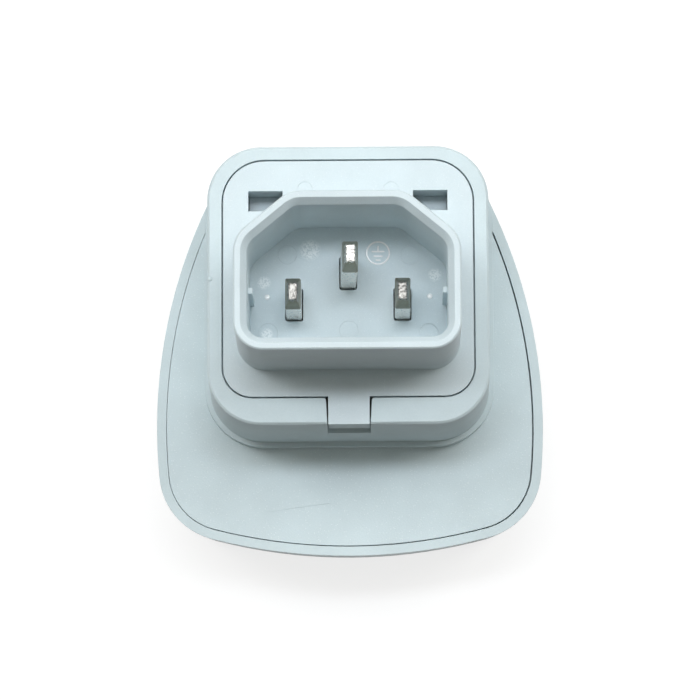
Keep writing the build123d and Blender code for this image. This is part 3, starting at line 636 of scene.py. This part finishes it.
class ADAPTER_OT_pins(bpy.types.Operator):
    """Round the inlet's pins and give them plated sides and a coined, cropped crown"""

    bl_idname = "adapter.pins"
    bl_label = "Inlet pins"

    def execute(self, context):
        shades = context.scene.adapter_colours
        edge = context.scene.adapter_sizes.pin_edge
        sides = strip_metal(
            "pin_nickel", shades.pin, roughness=0.3, streak=(1.2, 1.2, 0.3), depth=0.002 * MM
        )
        for pole, (brightness, half, streak) in CROWNS.items():
            pin = rounded_copy(f"{pole}_pin", edge, sides)
            tip = self.mark_crown(pin.data)
            bright = scaled(shades.pin, brightness)
            reach = tuple(part * MM for part in half)
            crown = cropped_metal(f"{pole}_crown", shades.bevel, bright, tip, reach, streak)
            pin.data.materials.append(crown)
        return {"FINISHED"}

    def mark_crown(self, mesh):
        """Gives the sloping faces and the tip the second material, and finds the tip's middle.

        They are the faces that look upwards and stand clear of the inlet's floor.
        """
        count = len(mesh.polygons)
        normals = np.empty(count * 3)
        centres = np.empty(count * 3)
        mesh.polygons.foreach_get("normal", normals)
        mesh.polygons.foreach_get("center", centres)
        up = normals.reshape(-1, 3)[:, 2]
        centres = centres.reshape(-1, 3)
        crown = (centres[:, 2] > FLOOR_LEVEL + CROWN_CLEARANCE) & (up > CROWN_SLOPE)
        mesh.polygons.foreach_set("material_index", crown.astype(np.int32))
        return tuple(centres[np.argmax(centres[:, 2])].tolist())


class ADAPTER_OT_metals(bpy.types.Operator):
    """Give the contacts, straps, rivets and screws their metals"""

    bl_idname = "adapter.metals"
    bl_label = "Metals"

    def execute(self, context):
        shades = context.scene.adapter_colours
        brass = strip_metal("contact_brass", shades.brass, roughness=0.32, streak=(1, 1, 6))
        rivet = strip_metal("rivet_brass", shades.rivet, roughness=0.36, streak=(1, 1, 1))
        steel = strip_metal("screw_steel", shades.steel, roughness=0.34, streak=(1, 1, 1))
        for pole in ("line", "neutral", "earth"):
            dress(f"{pole}_contact", brass)
            dress(f"{pole}_strap", brass)
        dress("strap_rivets", rivet)
        dress("retainer_screws", steel)
        dress("cover_screws", steel)
        return {"FINISHED"}


class ADAPTER_OT_inner(bpy.types.Operator):
    """Give the clamp and the retainer their plastic"""

    bl_idname = "adapter.inner"
    bl_label = "Inner plastics"

    def execute(self, context):
        shade = context.scene.adapter_colours.inner
        natural = moulded_plastic(
            "inner_natural", shade, roughness=0.5, grain=0.006 * MM, grain_size=0.3 * MM
        )
        dress("pin_clamp", natural)
        dress("contact_retainer", natural)
        return {"FINISHED"}


class ADAPTER_OT_marks(bpy.types.Operator):
    """Raise the ejector rings, the earth sign and the pole dots, and a pip and a hairline on the cover"""

    bl_idname = "adapter.marks"
    bl_label = "Moulded marks"

    def execute(self, context):
        sizes = context.scene.adapter_sizes
        insert = bpy.data.materials["insert_white"]
        cover = bpy.data.materials["cover_white"]
        # The marks' whiter colour than the insert's is a painted highlight; their low roughness and
        # strong reflection are real gloss
        glossy_painted_highlight = moulded_plastic(
            "mark_white",
            scaled(GRAIN_AND_GLINT_WHITE, 1.1),
            roughness=0.08,
            grain=0.0004 * MM,
            grain_size=0.3 * MM,
            shine=1.0,
        )
        for number, (x, y, part) in enumerate(RING_PLACES):
            radius = part * sizes.ring_radius
            grid = ring_points(at(x, y, FLOOR_LEVEL), radius, sizes.ring_width, sizes.ring_height)
            mesh = grid_mesh(f"ejector_ring_{number}", grid, True, True)
            add_piece(f"ejector_ring_{number}", mesh, insert)
        add_piece("earth_sign", self.earth_sign(sizes), glossy_painted_highlight)
        for name, place in DOT_PLACES.items():
            dot = dome_points(at(*place, FLOOR_LEVEL), sizes.dot_radius, sizes.dot_height)
            add_piece(name, joined(name, [(dot, False, True)]), glossy_painted_highlight)
        pip = dome_points(at(*PIP_PLACE, FLOOR_LEVEL), PIP_RADIUS, PIP_HEIGHT)
        add_piece("rim_pip", joined("rim_pip", [(pip, False, True)]), cover)
        ends = [at(*place, PLATE_LEVEL) for place in HAIRLINE_ENDS]
        line = bar_points(*ends, HAIRLINE_WIDTH, HAIRLINE_HEIGHT)
        add_piece("hairline", joined("hairline", [(line, False, True)]), cover)
        return {"FINISHED"}

    def earth_sign(self, sizes):
        """A ring round a stem that stands on three bars, each shorter than the one above it."""
        x, y, z = at(*SIGN_PLACE, FLOOR_LEVEL)
        line, height = sizes.sign_line, sizes.sign_height
        grids = [(ring_points((x, y, z), sizes.sign_radius, line, height), True, True)]
        for rise, half in SIGN_BARS:
            level = y + rise * MM
            bar = bar_points((x - half * MM, level, z), (x + half * MM, level, z), line, height)
            grids.append((bar, False, True))
        low, high = (y + rise * MM for rise in SIGN_STEM)
        stem = bar_points((x, low, z), (x, high, z), line, height)
        grids.append((stem, False, True))
        return joined("earth_sign", grids)


class ADAPTER_OT_studio(bpy.types.Operator):
    """Set up the floor, the lamps, the surrounding light and the camera"""

    bl_idname = "adapter.studio"
    bl_label = "Studio"

    def execute(self, context):
        scene = context.scene
        scene.view_settings.view_transform = "Standard"
        self.add_floor(scene)
        self.add_lamps(scene)
        self.add_surroundings(scene)
        self.add_camera(scene)
        return {"FINISHED"}

    def backdrop_rays(self, tree):
        """1 for the rays of the camera, of gloss and of glass, which see the white backdrop."""
        path = add_node(tree, "ShaderNodeLightPath")
        some = maths(tree, "ADD", path.outputs["Is Camera Ray"], path.outputs["Is Glossy Ray"])
        return maths(tree, "ADD", some, path.outputs["Is Transmission Ray"], clamp=True)

    def add_floor(self, scene):
        """A large flat floor under the socket face, which shows as plain white."""
        near, far = -FLOOR_HALF, FLOOR_HALF
        corners = np.array([[(near, far, 0), (far, far, 0)], [(near, near, 0), (far, near, 0)]])
        mesh = grid_mesh("studio_floor", corners, False, False)
        material, tree = new_material("floor_white")
        base = add_node(tree, "ShaderNodeBsdfDiffuse", Color=(*scene.adapter_colours.floor, 1))
        strength = maths(tree, "MULTIPLY", self.backdrop_rays(tree), scene.adapter_studio.backdrop)
        glow = add_node(tree, "ShaderNodeEmission", Strength=strength)
        both = add_node(tree, "ShaderNodeAddShader")
        tree.links.new(base.outputs[0], both.inputs[0])
        tree.links.new(glow.outputs[0], both.inputs[1])
        add_node(tree, "ShaderNodeOutputMaterial", Surface=both.outputs[0])
        mesh.materials.append(material)
        floor = bpy.data.objects.new("studio_floor", mesh)
        scene.collection.objects.link(floor)

    def add_lamp(self, name, shape, sizes, watts, shade, place, turn):
        """An area lamp, which shines downwards until it is turned."""
        lamp = bpy.data.lights.new(name, "AREA")
        lamp.shape = shape
        lamp.size, lamp.size_y = sizes
        lamp.energy = watts
        lamp.color = shade
        stand = bpy.data.objects.new(name, lamp)
        stand.location = place
        stand.rotation_mode = "QUATERNION"
        stand.rotation_quaternion = turn
        bpy.context.scene.collection.objects.link(stand)

    def add_lamps(self, scene):
        """The key, a wide soft box above, and a weaker lamp on either side.

        The key is long and lies across the narrow end, so that its shadows are soft only beside
        narrow pieces. The side lamps stand behind the narrow end, for the body's upright sides.
        """
        studio, shades = scene.adapter_studio, scene.adapter_colours
        lean = studio.key_lean
        direction = Vector((KEY_SIDE, math.sin(lean), math.cos(lean))).normalized()
        place = Vector((0, 0, PLATE_LEVEL)) + direction * KEY_DISTANCE
        turn = direction.to_track_quat("Z", "Y")
        self.add_lamp("key", "RECTANGLE", KEY_SIZE, studio.key_power, shades.key_light, place, turn)
        self.add_lamp(
            "soft_box",
            "RECTANGLE",
            SOFT_BOX_SIZE,
            studio.soft_power,
            shades.soft_light,
            SOFT_BOX_PLACE,
            Quaternion(),
        )
        across, along, up = SIDE_LAMP_PLACE
        for side, name in ((-1, "left_lamp"), (1, "right_lamp")):
            place = Vector((side * across, along, up))
            turn = place.to_track_quat("Z", "Y")
            self.add_lamp(name, "DISK", SIDE_LAMP_SIZE, studio.side_power, WHITE, place, turn)

    def add_surroundings(self, scene):
        """Light from all round, strongest from above, and a plain white for the backdrop's rays."""
        world = bpy.data.worlds.new("surroundings")
        world.use_nodes = True
        tree = world.node_tree
        tree.nodes.clear()
        place = add_node(tree, "ShaderNodeTexCoord").outputs["Generated"]
        height = add_node(tree, "ShaderNodeSeparateXYZ", Vector=place).outputs["Z"]
        fill = scene.adapter_studio.fill
        strength = ramp(tree, height, (0.0, 1.0), (FILL_AT_HORIZON * fill, FILL_OVERHEAD * fill))
        shade = (*scene.adapter_colours.fill_light, 1)
        even = add_node(tree, "ShaderNodeBackground", Color=shade, Strength=strength)
        white = add_node(tree, "ShaderNodeBackground", Color=(*WHITE, 1), Strength=1.0)
        mix = add_node(tree, "ShaderNodeMixShader", Fac=self.backdrop_rays(tree))
        tree.links.new(even.outputs[0], mix.inputs[1])
        tree.links.new(white.outputs[0], mix.inputs[2])
        add_node(tree, "ShaderNodeOutputWorld", Surface=mix.outputs[0])
        scene.world = world

    def add_camera(self, scene):
        """The camera of the photograph: nearly above the inlet, a little towards the wide end."""
        studio = scene.adapter_studio
        turn = (
            Matrix.Rotation(studio.roll, 3, "Z")
            @ Matrix.Rotation(-studio.tilt, 3, "X")
            @ Matrix.Rotation(studio.yaw, 3, "Y")
        )
        back = turn.transposed()
        place = Vector(VIEW_POINT) - back @ Vector((*VIEW_SHIFT, -studio.distance))
        data = bpy.data.cameras.new("camera")
        data.sensor_width = SENSOR_WIDTH
        data.lens = studio.lens
        data.clip_start = NEAREST_SEEN
        camera = bpy.data.objects.new("camera", data)
        camera.matrix_world = Matrix.Translation(place) @ back.to_4x4()
        scene.collection.objects.link(camera)
        scene.camera = camera


class ADAPTER_PT_panel(bpy.types.Panel):
    """Lists the steps that dress the adapter"""

    bl_idname = "ADAPTER_PT_panel"
    bl_label = "Adapter"
    bl_space_type = "VIEW_3D"
    bl_region_type = "UI"
    bl_category = "Adapter"

    def draw(self, context):
        for step in STEPS:
            self.layout.operator(step.bl_idname)


STEPS = (
    ADAPTER_OT_housings,
    ADAPTER_OT_pins,
    ADAPTER_OT_metals,
    ADAPTER_OT_inner,
    ADAPTER_OT_marks,
    ADAPTER_OT_studio,
)
CLASSES = (AdapterColours, AdapterSizes, AdapterStudio, *STEPS, ADAPTER_PT_panel)


def register():
    """Makes the classes and the scene's settings known to Blender."""
    for kind in CLASSES:
        bpy.utils.register_class(kind)
    bpy.types.Scene.adapter_colours = PointerProperty(type=AdapterColours)
    bpy.types.Scene.adapter_sizes = PointerProperty(type=AdapterSizes)
    bpy.types.Scene.adapter_studio = PointerProperty(type=AdapterStudio)


def unregister():
    """Takes them away again."""
    del bpy.types.Scene.adapter_studio
    del bpy.types.Scene.adapter_sizes
    del bpy.types.Scene.adapter_colours
    for kind in reversed(CLASSES):
        bpy.utils.unregister_class(kind)


def main():
    register()
    bpy.ops.adapter.housings()
    bpy.ops.adapter.pins()
    bpy.ops.adapter.metals()
    bpy.ops.adapter.inner()
    bpy.ops.adapter.marks()
    bpy.ops.adapter.studio()


if __name__ == "__main__":
    main()
